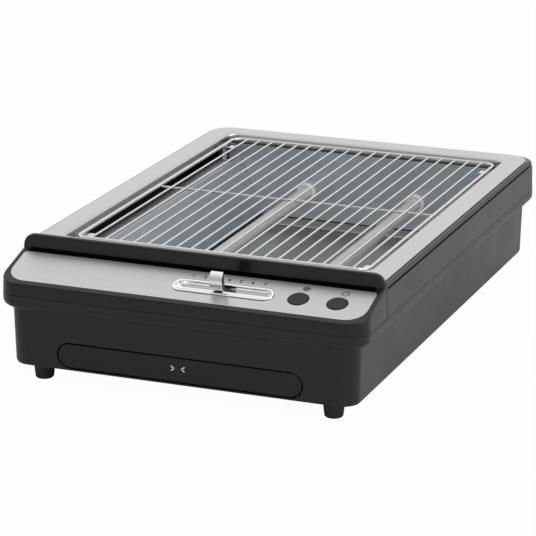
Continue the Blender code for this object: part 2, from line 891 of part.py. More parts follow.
def make_slider():
    """The curved chrome band of the knob, and the core and stem that carry it."""
    back_y = knob_depth / 2 - slit_drop
    half = knob_width / 2
    place = panel_frame @ Matrix.Translation((knob_place, back_y, 0)) @ sideways
    band = knob_outline(0) + knob_outline(knob_band)[::-1]
    knob = smooth(plate("slider_knob", band, -half, half, bright_chrome, place))
    outline = knob_outline(knob_band + seat_gap)
    core = plate("knob_core", outline, core_inset - half, half - core_inset, None, place)
    wiper_top = board_top + pot_height + seat_gap
    wiper_low = wiper_top - wiper_depth
    neck_low = wiper_top + stem_shoulder
    outline = [
        (stem_width / 2, knob_lift + knob_height / 2), (-stem_width / 2, knob_lift + knob_height / 2),
        (-stem_width / 2, neck_low), (-wiper_width / 2, wiper_top), (-wiper_width / 2, wiper_low),
        (wiper_width / 2, wiper_low), (wiper_width / 2, wiper_top), (stem_width / 2, neck_low),
    ]
    place = panel_frame @ Matrix.Translation((knob_place, -slit_drop, 0))
    half = stem_thickness / 2
    carriage = slab("slider_carriage", outline, -half, half, dark_plastic, place)
    slot = box("band_gap", (-knob_width, -stem_thickness / 2 - seat_gap, knob_lift - cut_overrun),
               (knob_width, knob_depth, knob_lift + knob_height / 2), None, place)
    combine(knob, [slot], 'DIFFERENCE')
    combine(carriage, [core], 'UNION')
    hang([knob, carriage], "browning_joint", panel_frame @ Vector((knob_place, -slit_drop, 0)))


def make_button(name, x):
    """A round button with a dished face, a skirt and a stem to its switch."""
    radius = button_diameter / 2
    stem = button_stem_diameter / 2
    tip = board_top + switch_height + seat_gap + button_travel
    profile = [
        (stem, tip), (stem, -button_skirt), (radius, -button_skirt), (radius, 0),
        (radius - button_lip, button_proud), (radius - button_lip - button_dish, button_proud),
        (radius - button_lip - 2 * button_dish, 0),
    ]
    place = panel_frame @ Matrix.Translation((x, -slider_drop, 0))
    button = turned(name, profile, round_sides, dark_plastic, place)
    hang([button], name.replace("button", "joint"), place.to_translation())


def make_board():
    """The circuit board under the panel, with what stands on it."""
    box("circuit_board", (board_left, board_front, board_top - board_thickness),
        (board_right, board_back, board_top), board_laminate, panel_frame)
    bottom = board_top + seat_gap
    pot_top = board_top + pot_height
    pot = box("slide_potentiometer", (pot_left, -slit_drop - pot_width / 2, bottom),
              (pot_left + pot_length, -slit_drop + pot_width / 2, pot_top), part_moulding, panel_frame)
    half_track = (number_pitch * (number_count - 1) + stem_width) / 2 + runner_clearance
    track = box("pot_track",
                (slider_middle_x - half_track, -slit_drop - stem_thickness, pot_top - 2 * wiper_depth),
                (slider_middle_x + half_track, -slit_drop + stem_thickness, pot_top + cut_overrun),
                None, panel_frame)
    combine(pot, [track], 'DIFFERENCE')
    half = switch_side / 2
    for name, x in (("defrost_switch", defrost_x), ("power_switch", power_x)):
        box(name, (x - half, -slider_drop - half, bottom),
            (x + half, -slider_drop + half, board_top + switch_height), part_moulding, panel_frame)
    middle = (board_front + board_back) / 2
    for name, x, length, width, height in (
            ("relay", relay_x, relay_length, relay_width, relay_height),
            ("capacitor", capacitor_x, capacitor_length, capacitor_width, capacitor_height)):
        piece = box(name, (x - length / 2, middle - width / 2, bottom),
                    (x + length / 2, middle + width / 2, bottom + height), part_moulding, panel_frame)
        round_edges(piece, component_edge_radius)


def make_trim():
    """The pressed steel trim: a flat border, a rolled fold and a flange into the well."""
    def ring(widen, z):
        corner = opening_corner + widen
        outline = rounded_rectangle(opening_half_width + widen, opening_front_y - widen,
                                    opening_back_y + widen, corner, corner)
        return level(outline, z)

    def border(inset, z):
        return level(rounded_rectangle(trim_half_width - inset, trim_front_y + inset, trim_back_y - inset,
                                       trim_front_corner, trim_back_corner), z)

    under = trim_top_z - trim_thickness
    rings = [border(0, under), border(0, trim_top_z - trim_edge_radius),
             border(trim_edge_radius, trim_top_z)]
    for cosine, sine in quarter(fold_steps):
        rings.append(ring(fold_radius * (1 - sine), trim_top_z - fold_radius * (1 - cosine)))
    rings.append(ring(0, flange_bottom_z))
    rings.append(ring(trim_thickness, flange_bottom_z))
    inner_radius = fold_radius - trim_thickness
    for cosine, sine in reversed(quarter(fold_steps)):
        rings.append(ring(trim_thickness + inner_radius * (1 - sine), under - inner_radius * (1 - cosine)))
    return smooth(loft("steel_trim", rings, brushed_steel, True))


def make_rack():
    """The welded wire rack: one closed rim, long wires and a cross wire under them."""
    outline = rounded_rectangle(rack_half_width, rack_front_y, rack_back_y,
                                rack_corner_radius, rack_corner_radius)
    rack = rod("rack", level(outline, rack_z), rim_rod_diameter, rod_resolution, bright_chrome, True)
    pitch = 2 * rack_half_width / (wire_count + 1)
    start = -pitch * (wire_count - 1) / 2
    path = [(start, rack_front_y + weld_sink, rack_z), (start, rack_back_y - weld_sink, rack_z)]
    wires = rod("long_wires", path, wire_diameter, rod_resolution)
    repeat = wires.modifiers.new("repeat", 'ARRAY')
    repeat.count = wire_count
    repeat.use_relative_offset = False
    repeat.use_constant_offset = True
    repeat.constant_offset_displace = (pitch, 0, 0)
    middle = (rack_front_y + rack_back_y) / 2
    reach = rack_half_width - weld_sink
    cross_z = rack_z - cross_wire_drop
    ends = [(-reach, middle, cross_z), (reach, middle, cross_z)]
    cross = rod("cross_wire", ends, wire_diameter, rod_resolution)
    combine(rack, [wires, cross], 'UNION')
    hang([smooth(rack)], "rack_joint", (0, middle, rack_z))


def make_clips():
    """Four bent tabs that stand on the reflector's ledge and carry the rack."""
    top = rack_z - rim_rod_diameter / 2 - seat_gap
    low = ledge_z + seat_gap
    outer = rack_half_width + clip_sheet
    inner = outer - clip_reach
    shape = (
        (outer + clip_sheet, top), (inner, top), (inner, top - clip_sheet), (outer, top - clip_sheet),
        (outer, low + clip_sheet), (inner, low + clip_sheet), (inner, low), (outer + clip_sheet, low),
    )
    for side_name, side in (("left", -1), ("right", 1)):
        for end_name, y in (("front", rack_front_y + clip_front_inset),
                            ("back", rack_back_y - clip_back_inset)):
            outline = [(side * x, z) for x, z in shape]
            name = "rack_clip_%s_%s" % (end_name, side_name)
            slab(name, outline, y - clip_width / 2, y + clip_width / 2, plated_steel)


def make_side_reflectors():
    """Two leaning side sheets, each with a ledge on top and a lip below."""
    across = sheet / math.cos(math.atan2(well_lean, ledge_z - well_bottom_z))
    lip_x = well_bottom_half_width - reflector_lip_lean
    shape = (
        (ledge_half_width, ledge_z), (well_top_half_width, ledge_z), (well_bottom_half_width, well_bottom_z),
        (lip_x, well_bottom_z - reflector_lip), (lip_x + sheet, well_bottom_z - reflector_lip),
        (well_bottom_half_width + across, well_bottom_z), (well_top_half_width + across, ledge_z - sheet),
        (ledge_half_width - sheet, ledge_z - sheet), (ledge_half_width - sheet, ledge_z - reflector_lip),
        (ledge_half_width, ledge_z - reflector_lip),
    )
    for name, side in (("side_reflector_left", -1), ("side_reflector_right", 1)):
        outline = [(side * x, z) for x, z in shape]
        slab(name, outline, well_front_y + seat_gap, well_back_y - seat_gap, reflector_steel)


def arched(half_width, low, top, arch_half_width, arch_top):
    """An upright plate's outline, with an opening in its foot for the tray."""
    return [
        (-half_width, low), (-half_width, top), (half_width, top), (half_width, low),
        (arch_half_width, low), (arch_half_width, arch_top),
        (-arch_half_width, arch_top), (-arch_half_width, low),
    ]


def make_end_plates():
    """The well's two upright ends, with a folded hem and the heaters' holes."""
    guide_x = tray_half_width + runner_clearance + runner_guide
    outline = arched(ledge_half_width - plate_side_clearance, runner_z, plate_top_z,
                     guide_x + plate_arch_clearance, base_z + plate_arch_height)
    for name, face_y, outward in (("end_plate_back", well_back_y, 1), ("end_plate_front", well_front_y, -1)):
        near, far = sorted((face_y, face_y + outward * sheet))
        plain = slab(name, outline, near, far, reflector_steel)
        near, far = sorted((face_y + outward * sheet / 2, face_y + outward * (sheet + plate_hem)))
        hem = box(name + "_hem", (-well_top_half_width, near, plate_top_z - sheet),
                  (well_top_half_width, far, plate_top_z))
        combine(plain, [hem], 'UNION')
        holes = []
        for side in (-1, 1):
            start = (side * heater_spacing / 2, face_y - outward * cut_overrun, heater_z)
            place = aimed(start, (0, outward, 0))
            radius = holder_neck_diameter / 2 + seat_gap
            hole_name = "%s_hole_%d" % (name, side)
            holes.append(cylinder(hole_name, radius, 2 * cut_overrun + sheet, tube_sides, place))
        combine(plain, holes, 'DIFFERENCE')


def make_coil(name, x):
    """One heating coil, wound along the tube, with straight ends that reach into the holders."""
    radius = coil_diameter / 2
    front = well_front_y + radius
    back = well_back_y - radius
    path = [(x, well_front_y - holder_neck / 2, heater_z), (x, well_front_y, heater_z)]
    steps = coil_turns * coil_points_per_turn
    for k in range(steps + 1):
        turn = 2 * math.pi * k / coil_points_per_turn
        y = front + (back - front) * k / steps
        path.append((x + radius * math.cos(turn), y, heater_z + radius * math.sin(turn)))
    path += [(x, well_back_y, heater_z), (x, well_back_y + holder_neck / 2, heater_z)]
    return smooth(rod(name, path, coil_wire, coil_resolution, heating_alloy))


def make_heaters():
    """Two quartz tubes between ceramic holders, each with its coil."""
    bore = tube_diameter / 2 + seat_gap
    disc = holder_diameter / 2
    neck = holder_neck_diameter / 2
    lead = coil_wire / 2 + lead_clearance
    face = -holder_disc - seat_gap
    seat = face + holder_bore_depth
    holder = [
        (bore, face), (disc - holder_edge, face), (disc, face + holder_edge), (disc, -seat_gap),
        (neck, -seat_gap), (neck, holder_neck), (lead, holder_neck), (lead, seat), (bore, seat),
    ]
    for side_name, side in (("left", -1), ("right", 1)):
        x = side * heater_spacing / 2
        for end_name, y, outward in (("back", well_back_y, 1), ("front", well_front_y, -1)):
            name = "ceramic_holder_%s_%s" % (end_name, side_name)
            place = aimed((x, y, heater_z), (0, outward, 0))
            turned(name, holder, tube_sides, white_ceramic, place, True)
        reach = seat - seat_gap
        length = well_back_y - well_front_y + 2 * reach
        outer = tube_diameter / 2
        inner = outer - tube_wall
        profile = [(outer, 0), (outer, length), (inner, length), (inner, 0)]
        place = aimed((x, well_front_y - reach, heater_z), (0, 1, 0))
        turned("heater_tube_" + side_name, profile, tube_sides, milky_quartz, place, True)
        make_coil("heating_coil_" + side_name, x)


def make_tray():
    """The crumb tray: a pressed open pan with a tongue, and its moulded front."""
    builder = bmesh.new()
    size = Vector((2 * tray_half_width, pan_back_y - pan_front_y, tray_wall_height))
    bmesh.ops.create_cube(builder, size=1, matrix=Matrix.Diagonal((*size, 1)))
    top = [face for face in builder.faces if face.normal.z > math.cos(crease_angle)]
    bmesh.ops.delete(builder, geom=top, context='FACES_ONLY')
    middle = Vector((0, (pan_front_y + pan_back_y) / 2, tray_bottom_z + tray_wall_height / 2))
    mesh = bpy.data.meshes.new("crumb_tray")
    builder.to_mesh(mesh)
    builder.free()
    mesh.materials.append(plated_steel)
    pan = bpy.data.objects.new("crumb_tray", mesh)
    pan.location = middle
    parts.objects.link(pan)
    round_edges(pan, tray_corner_radius).modifiers["bevel"].segments = shoulder_steps
    thicken = pan.modifiers.new("sheet", 'SOLIDIFY')
    thicken.thickness = tray_sheet
    thicken.use_even_offset = True
    tongue = box("tongue", (-tongue_width / 2, pan_back_y - tray_sheet / 2, middle.z - tongue_height / 2),
                 (tongue_width / 2, pan_back_y + tongue_length, middle.z + tongue_height / 2))
    combine(pan, [tongue], 'UNION')
    outline = [(x, z + tray_front_z) for x, z in stadium(tray_front_length, tray_front_height, stadium_steps)]
    front = slab("tray_front", outline, tray_face_y, tray_face_y + tray_front_thickness, black_plastic)
    round_edges(front, tray_front_edge)
    hang([pan, front], "tray_joint", (0, tray_face_y, tray_front_z))


def make_runners():
    """Two bent rails on the floor that the tray slides between."""
    guide_x = tray_half_width + runner_clearance
    outer = guide_x + runner_guide
    inner = outer - runner_strip_width
    strip_top = runner_z + runner_strip
    guide_top = runner_z + runner_guide_height
    shape = ((inner, runner_z), (outer, runner_z), (outer, guide_top), (guide_x, guide_top),
             (guide_x, strip_top), (inner, strip_top))
    for name, side in (("tray_runner_left", -1), ("tray_runner_right", 1)):
        outline = [(side * x, z) for x, z in shape]
        slab(name, outline, bottom_front_y + runner_front_inset, pan_back_y - runner_back_inset, plated_steel)


def make_latch():
    """The push latch behind the tray, with a slot for the tray's tongue."""
    latch = box("tray_latch", (-latch_width / 2, latch_front_y, runner_z),
                (latch_width / 2, latch_back_y, runner_z + latch_height), dark_plastic)
    middle = tray_bottom_z + tray_wall_height / 2
    half = tongue_width / 2 + latch_clearance
    tall = tongue_height / 2 + latch_clearance
    reach = tongue_reach + tray_push + latch_clearance
    slot = box("latch_slot", (-half, latch_front_y - cut_overrun, middle - tall),
               (half, latch_front_y + reach, middle + tall))
    return combine(latch, [slot], 'DIFFERENCE')


def make_feet():
    """Four tapered rubber feet."""
    top = foot_top_diameter / 2
    bottom = foot_bottom_diameter / 2
    profile = [(bottom - foot_edge, 0), (bottom, foot_edge), (top, foot_height - seat_gap)]
    for side_name, side in (("left", -1), ("right", 1)):
        for end_name, y in (("front", foot_front_inset - housing_half_depth),
                            ("back", housing_half_depth - foot_back_inset)):
            name = "foot_%s_%s" % (end_name, side_name)
            turned(name, profile, round_sides, soft_rubber, Matrix.Translation((side * foot_x, y, 0)))


def make_screws():
    """Four screws up through the floor into the bezel's columns."""
    head = screw_head_diameter / 2
    shank = screw_shank_diameter / 2
    low = -screw_head_height - seat_gap
    profile = [
        (head - screw_head_edge, low), (head, low + screw_head_edge), (head, -seat_gap), (shank, -seat_gap),
        (shank, screw_length - screw_tip), (shank / 2, screw_length),
    ]
    for k, (x, y) in enumerate(screw_places()):
        name = "housing_screw_%d" % (k + 1)
        turned(name, profile, small_sides, plated_steel, Matrix.Translation((x, y, base_z)))


def make_heat_shield():
    """The sheet between the well and the electronics, on two feet."""
    half_width = ledge_half_width - shield_side_clearance
    arch_half_width = half_width - shield_leg_width
    outline = arched(half_width, runner_z, plate_top_z - shield_drop,
                     arch_half_width, base_z + shield_arch_height)
    shield = slab("heat_shield", outline, shield_y, shield_y + shield_sheet, plated_steel)
    feet = []
    for k, side in enumerate((-1, 1)):
        near, far = sorted((side * arch_half_width, side * half_width))
        feet.append(box("shield_foot_%d" % k, (near, shield_y - shield_foot, runner_z),
                        (far, shield_y + shield_sheet / 2, runner_z + shield_sheet)))
    return combine(shield, feet, 'UNION')


def make_gland():
    """The flanged bush where the mains lead enters at the back."""
    flange = gland_flange_diameter / 2
    neck = gland_neck_diameter / 2
    bore = gland_bore_diameter / 2
    top = gland_seat + gland_flange
    profile = [
        (bore, -gland_neck), (neck, -gland_neck), (neck, gland_seat), (flange, gland_seat),
        (flange, top - gland_edge), (flange - gland_edge, top), (bore, top),
    ]
    place = aimed((gland_x, bottom_back_y, base_z + gland_height), (0, 1, 0))
    return turned("cord_gland", profile, round_sides, soft_rubber, place, True)


def make_terminal_block():
    """The terminal block on the floor by the gland, with its wire holes."""
    back = bottom_back_y - gland_neck - terminal_gap
    front = back - terminal_width
    block = box("terminal_block", (gland_x - terminal_length / 2, front, runner_z),
                (gland_x + terminal_length / 2, back, runner_z + terminal_height), white_ceramic)
    holes = []
    for k in range(terminal_count):
        x = gland_x + (k - (terminal_count - 1) / 2) * terminal_length / terminal_count
        place = aimed((x, front - cut_overrun, runner_z + terminal_height / 2), (0, 1, 0))
        length = terminal_width + 2 * cut_overrun
        radius = terminal_hole_diameter / 2
        holes.append(cylinder("terminal_hole_%d" % k, radius, length, small_sides, place))
    return combine(block, holes, 'DIFFERENCE')


make_lower_housing()
make_upper_bezel()
make_trim()
make_control_panel()
make_slider_surround()
make_slider()
make_button("defrost_button", defrost_x)
make_button("power_button", power_x)
make_board()
make_rack()
make_clips()
make_side_reflectors()
make_end_plates()
make_heaters()
make_tray()
make_runners()
make_latch()
make_feet()
make_screws()
make_heat_shield()
make_gland()
make_terminal_block()
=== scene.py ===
# %% [markdown]
# # A flat countertop toaster
# Bread lies on a loose wire rack over two quartz heaters. Under the heaters a crumb tray pulls out,
# and in front a sloping steel panel carries a browning slider and two buttons.
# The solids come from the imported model. This lesson dresses them: it gives each surface its finish,
# remodels the round and fine pieces, and sets up the studio.

# %% Load the frame
import math

import bpy
from mathutils import Matrix, Vector


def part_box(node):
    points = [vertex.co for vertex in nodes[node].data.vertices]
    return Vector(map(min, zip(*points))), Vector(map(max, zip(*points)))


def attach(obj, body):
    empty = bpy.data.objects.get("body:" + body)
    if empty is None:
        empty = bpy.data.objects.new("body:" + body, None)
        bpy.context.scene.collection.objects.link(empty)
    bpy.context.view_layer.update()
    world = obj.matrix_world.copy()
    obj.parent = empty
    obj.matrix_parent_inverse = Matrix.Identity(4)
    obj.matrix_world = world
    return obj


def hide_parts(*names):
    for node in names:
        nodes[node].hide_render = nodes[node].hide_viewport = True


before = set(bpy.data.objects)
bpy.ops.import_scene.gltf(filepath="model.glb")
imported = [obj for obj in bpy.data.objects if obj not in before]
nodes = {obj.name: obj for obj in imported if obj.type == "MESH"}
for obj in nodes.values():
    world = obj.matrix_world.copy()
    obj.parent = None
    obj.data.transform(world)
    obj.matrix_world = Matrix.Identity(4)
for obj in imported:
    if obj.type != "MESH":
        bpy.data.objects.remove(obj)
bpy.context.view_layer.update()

# %% [markdown]
# ## Measures read from the frame
# The pieces that are made here must sit on the ones that are already there, so the rack and the tray
# front give their boxes. The marks lie on a sloping sheet, which a box can't describe. Its largest
# face gives the slope, and a matrix then lays things on it as if the sheet were level: x runs along
# it and y up it, from its back edge. Only the marks, the lamps and the camera have typed places.

# %% Places that later cells use
MM = 0.001
rack_low, rack_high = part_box("rack")
tray_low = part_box("tray_front")[0]
panel_back = -160.5 * MM
panel_faces = [face for face in nodes["control_panel"].data.polygons if face.normal.z > 0.5]
panel_face = max(panel_faces, key=lambda face: face.area)
slope = math.atan2(-panel_face.normal.y, panel_face.normal.z)
panel_rise = panel_face.center.z + (panel_back - panel_face.center.y) * math.tan(slope)
panel_frame = Matrix.Translation((0, panel_back, panel_rise)) @ Matrix.Rotation(slope, 4, 'X')
print("panel slope in degrees:", round(math.degrees(slope), 2))
print("panel height at its back edge in mm:", round(panel_rise / MM, 2))

# %% [markdown]
# ## Selecting, as by hand
# Blender's operators act on what is selected, so every step first clears the selection.
# Edges are rounded with a Bevel modifier that is applied at once. The shading is smoothed up to an
# angle, so that round sides look round and corners stay crisp. Beside a narrow bevel a broad face
# would pick up streaks, so a Weighted Normal modifier lets the large faces decide the shading.

# %% Helpers for selecting and shaping
def only(piece):
    """Selects one object and nothing else."""
    bpy.ops.object.select_all(action='DESELECT')
    piece.select_set(True)
    bpy.context.view_layer.objects.active = piece


def settle(piece, name):
    """Names a piece and moves its place into its mesh."""
    only(piece)
    bpy.ops.object.transform_apply(location=True, rotation=True, scale=True)
    piece.name = name
    piece.data.name = name
    return piece


def bevelled(piece, width, segments=2):
    """Rounds the sharp edges of a piece."""
    only(piece)
    bevel = piece.modifiers.new("bevel", 'BEVEL')
    bevel.width = width
    bevel.segments = segments
    bevel.limit_method = 'ANGLE'
    bevel.angle_limit = math.radians(35)
    bpy.ops.object.modifier_apply(modifier=bevel.name)
    return piece


def smooth(piece, angle=35):
    """Shades a piece smooth where its faces meet at less than an angle."""
    only(piece)
    bpy.ops.object.shade_smooth_by_angle(angle=math.radians(angle))
    weighted = piece.modifiers.new("weighted", 'WEIGHTED_NORMAL')
    weighted.keep_sharp = True
    bpy.ops.object.modifier_apply(modifier=weighted.name)
    return piece


print("shaping helpers ready")

# %% [markdown]
# ## Standing for a solid
# A solid of the frame is a set of loose triangles that may not be changed. A copy of it may: its
# doubled points are merged and its flat triangles dissolved into clean faces, which a bevel needs.
# Each new piece then gets a finish and the body it rides on.

# %% Helpers for the frame
merge_distance = 0.02 * MM
flat_angle = math.radians(0.5)


def copied(source, name):
    """A copy of a solid of the frame, with its loose triangles merged into clean faces."""
    piece = bpy.data.objects.new(name, nodes[source].data.copy())
    bpy.context.scene.collection.objects.link(piece)
    only(piece)
    bpy.ops.object.mode_set(mode='EDIT')
    bpy.ops.mesh.select_all(action='SELECT')
    bpy.ops.mesh.remove_doubles(threshold=merge_distance)
    bpy.ops.mesh.dissolve_limited(angle_limit=flat_angle)
    bpy.ops.object.mode_set(mode='OBJECT')
    return settle(piece, name)


def dress(piece, finish, body):
    """Gives a piece its finish and lets it ride on a body of the frame."""
    piece.data.materials.clear()
    piece.data.materials.append(finish)
    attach(piece, body)
    return piece


print("frame helpers ready")

# %% [markdown]
# ## Finishes
# A finish is a Principled BSDF whose roughness, colour or bump a texture varies a little. All the
# textures read Object coordinates in metres, so their grain has a real size: a noise of scale 1000
# has grains of about a millimetre. Stretching the coordinates along an axis turns grains into brush
# lines.

# %% Helpers for finishes
def plain(name, colour, roughness, metallic=0):
    """A finish without a texture yet."""
    finish = bpy.data.materials.new(name)
    finish.use_nodes = True
    shader = finish.node_tree.nodes["Principled BSDF"]
    shader.inputs["Base Color"].default_value = (*colour, 1)
    shader.inputs["Roughness"].default_value = roughness
    shader.inputs["Metallic"].default_value = metallic
    return finish


def node(finish, kind, links=None, **values):
    """Adds a node to a finish, with its values set and its inputs linked."""
    made = finish.node_tree.nodes.new(kind)
    for key, value in values.items():
        if hasattr(made, key):
            setattr(made, key, value)
        else:
            made.inputs[key.replace("_", " ")].default_value = value
    for key, source in (links or {}).items():
        finish.node_tree.links.new(source, made.inputs[key])
    return made


def grain(finish, scale, stretch=(1, 1, 1), detail=2):
    """A noise on Object coordinates, as a value from 0 to 1."""
    place = node(finish, "ShaderNodeTexCoord")
    spread = node(finish, "ShaderNodeMapping", {"Vector": place.outputs["Object"]}, Scale=stretch)
    noise = node(finish, "ShaderNodeTexNoise", {"Vector": spread.outputs["Vector"]},
                 Scale=scale, Detail=detail)
    return noise.outputs["Fac"]


def between(finish, value, low, high):
    """Spreads a texture's middle values over a range."""
    ramp = node(finish, "ShaderNodeMapRange", {"Value": value},
                From_Min=0.3, From_Max=0.7, To_Min=low, To_Max=high)
    return ramp.outputs["Result"]


def drive(finish, socket, source):
    """Links a texture to a socket of the shader."""
    shader = finish.node_tree.nodes["Principled BSDF"]
    finish.node_tree.links.new(source, shader.inputs[socket])


def bump(finish, value, depth):
    """Raises the surface by a texture, by a depth in metres."""
    relief = node(finish, "ShaderNodeBump", {"Height": value}, Strength=1.0, Distance=depth)
    drive(finish, "Normal", relief.outputs["Normal"])


def tint(finish, value, dark, light):
    """Varies the colour between two tones."""
    mix = node(finish, "ShaderNodeMix", {"Factor": value}, data_type='RGBA')
    mix.inputs[6].default_value = (*dark, 1)
    mix.inputs[7].default_value = (*light, 1)
    drive(finish, "Base Color", mix.outputs[2])


print("finish helpers ready")

# %% [markdown]
# ## Moulded plastic and rubber
# The housing is a black moulding with a fine spark-eroded grain. The grain is too small to see as
# bumps, but it breaks up the highlight, and a slow change of roughness keeps broad faces alive.
# Black plastic looks grey when its shine is too strong, so the specular level is set below Blender's
# usual one. Printed ink is made the same way, with almost no relief.

# %% Plastics, rubber and ink
fine_grain = 1400
slow_change = 25


def moulded(name, dark, light, rough_low, rough_high, depth, shine=0.5):
    """A moulded surface with a fine grain."""
    finish = plain(name, light, rough_high)
    fine = grain(finish, fine_grain, detail=3)
    slow = grain(finish, slow_change, detail=4)
    tint(finish, slow, dark, light)
    drive(finish, "Roughness", between(finish, slow, rough_low, rough_high))
    bump(finish, fine, depth)
    finish.node_tree.nodes["Principled BSDF"].inputs["Specular IOR Level"].default_value = shine
    return finish


housing_black = moulded("housing_black", (0.007, 0.007, 0.008), (0.011, 0.011, 0.012),
                        0.26, 0.34, 0.012 * MM, 0.38)
bezel_black = moulded("bezel_black", (0.007, 0.007, 0.008), (0.011, 0.011, 0.012),
                      0.20, 0.28, 0.008 * MM, 0.36)
tray_black = moulded("tray_black", (0.006, 0.006, 0.007), (0.010, 0.010, 0.011),
                     0.30, 0.38, 0.008 * MM, 0.36)
button_black = moulded("button_black", (0.010, 0.010, 0.011), (0.014, 0.014, 0.015),
                       0.30, 0.38, 0.003 * MM, 0.30)
foot_rubber = moulded("foot_rubber", (0.010, 0.010, 0.010), (0.015, 0.015, 0.015),
                      0.60, 0.75, 0.02 * MM)
ink = moulded("ink", (0.008, 0.008, 0.009), (0.014, 0.014, 0.015),
              0.45, 0.55, 0.002 * MM, 0.3)
pale_ink = moulded("pale_ink", (0.78, 0.78, 0.78), (0.86, 0.86, 0.85),
                   0.45, 0.55, 0.002 * MM)
print("plastics:", housing_black.name, bezel_black.name, tray_black.name, button_black.name)

# %% [markdown]
# ## Steel and chrome
# Brushed steel has fine lines along one direction. They spread a reflection across the lines, which
# a rougher, unevenly bumped surface imitates. An anisotropic shader could do it too, but it needs a
# UV map to know the direction, and the noise doesn't. Plated wire is smooth, with soft spots in its
# shine, so it gets the same finish without a stretch and with less roughness.

# %% Metals
brush_lines = 120
broad_spots = 9
along_the_width = (0.15, 30, 30)
every_way = (1, 1, 1)


def brushed(name, dark, light, rough_low, rough_high, stretch, depth):
    """A metal with brush lines along its least stretched axis."""
    finish = plain(name, light, rough_high, 1)
    lines = grain(finish, brush_lines, stretch, 4)
    broad = grain(finish, broad_spots)
    tint(finish, lines, dark, light)
    drive(finish, "Roughness", between(finish, broad, rough_low, rough_high))
    bump(finish, lines, depth)
    return finish


panel_steel = brushed("panel_steel", (0.52, 0.512, 0.50), (0.68, 0.67, 0.655),
                      0.30, 0.36, along_the_width, 0.006 * MM)
trim_steel = brushed("trim_steel", (0.50, 0.49, 0.475), (0.66, 0.648, 0.63),
                     0.28, 0.34, along_the_width, 0.006 * MM)
reflector_sheet = brushed("reflector_sheet", (0.58, 0.62, 0.65), (0.70, 0.74, 0.77),
                          0.32, 0.42, every_way, 0.01 * MM)
tray_sheet = brushed("tray_sheet", (0.42, 0.42, 0.42), (0.56, 0.56, 0.55),
                     0.30, 0.42, every_way, 0.01 * MM)
wire_chrome = brushed("wire_chrome", (0.62, 0.62, 0.63), (0.76, 0.76, 0.77),
                      0.04, 0.08, every_way, 0.004 * MM)
dish_chrome = brushed("dish_chrome", (0.84, 0.84, 0.85), (0.92, 0.92, 0.93),
                      0.05, 0.09, every_way, 0.001 * MM)
coil_metal = brushed("coil_metal", (0.24, 0.21, 0.19), (0.34, 0.31, 0.28),
                     0.45, 0.55, every_way, 0.004 * MM)
print("metals:", panel_steel.name, trim_steel.name, reflector_sheet.name, wire_chrome.name)

# %% [markdown]
# ## Quartz, ceramic and the parts inside
# The tubes are milky quartz: light goes in and comes back soft, so they get a whitish body with a
# little transmission and cloudy streaks along the tube. The holders are unglazed ceramic, which is
# matt and slightly warm. The circuit board and its components are seldom seen and stay simple.

# %% Quartz, ceramic, board and components
quartz = plain("quartz", (0.80, 0.80, 0.79), 0.22)
cloud = grain(quartz, 60, (6, 0.4, 6), 3)
tint(quartz, cloud, (0.66, 0.66, 0.66), (0.84, 0.84, 0.83))
quartz.node_tree.nodes["Principled BSDF"].inputs["Transmission Weight"].default_value = 0.15
ceramic = moulded("ceramic", (0.90, 0.89, 0.86), (0.95, 0.94, 0.92), 0.55, 0.70, 0.02 * MM)
laminate = moulded("laminate", (0.03, 0.14, 0.06), (0.05, 0.20, 0.09), 0.40, 0.55, 0.005 * MM)
component = moulded("component", (0.03, 0.03, 0.035), (0.05, 0.05, 0.055), 0.30, 0.45, 0.005 * MM)
print("inside:", quartz.name, ceramic.name, laminate.name, component.name)

# %% [markdown]
# ## The housing and the bezel
# Both mouldings keep their solid's shape. They could be modelled again, but the solid already has
# every wall and post. So a copy only gets the small radius that a mould leaves on its edges, which
# catches the light as the real edges do, and then stands for the solid.

# %% Mouldings
mould_radius = 0.35 * MM
for source, name, finish in (("lower_housing", "housing_tub", housing_black),
                             ("upper_bezel", "bezel_moulding", bezel_black)):
    moulding = smooth(bevelled(copied(source, name), mould_radius))
    dress(moulding, finish, "base")
    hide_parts(source)
    print(name, "faces:", len(moulding.data.polygons))

# %% [markdown]
# ## Sheet metal
# The trim, the panel, the dish of the slider, the reflectors and the clips are pressed from sheet.
# Sheet has much sharper edges than a moulding, so the same treatment gets a smaller radius. Pairs
# and sets share their values, and a loop makes their names.

# %% Trim, panel, dish, reflectors and clips
sheet_radius = 0.15 * MM
ends = ("front", "back")
sides = ("left", "right")
sheets = [("steel_trim", "trim_sheet", trim_steel, 0.10 * MM, "brushed_steel"),
          ("control_panel", "panel_sheet", panel_steel, 0.12 * MM, "brushed_steel"),
          ("slider_surround", "slider_dish", dish_chrome, 0.06 * MM, "bright_chrome")]
for side in sides:
    sheets.append(("side_reflector_" + side, "reflector_" + side, reflector_sheet,
                   sheet_radius, "reflector_steel"))
for end in ends:
    sheets.append(("end_plate_" + end, "plate_" + end, reflector_sheet,
                   sheet_radius, "reflector_steel"))
for end in ends:
    for side in sides:
        sheets.append(("rack_clip_%s_%s" % (end, side), "clip_%s_%s" % (end, side), wire_chrome,
                       sheet_radius, "plated_steel"))
for source, name, finish, radius, slot in sheets:
    pressed = smooth(bevelled(copied(source, name), radius))
    dress(pressed, finish, "base")
    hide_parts(source)
print("sheet pieces:", len(sheets))

# %% [markdown]
# ## The rack
# The real rack is welded wire: a closed rim, nineteen long wires and one cross wire under them.
# The rim starts as a plane whose corners are bevelled. Its outline becomes a curve with a round
# section, and that a mesh again, which gives even corners without any point by hand.

# %% The rim of the rack
rim_rod = 2.6 * MM
rim_corner = 7 * MM
rack_z = rack_high.z - rim_rod / 2
rim_half = rack_high.x - rim_rod / 2
rim_front = rack_low.y + rim_rod / 2
rim_back = rack_high.y - rim_rod / 2
rim_middle = (rim_front + rim_back) / 2


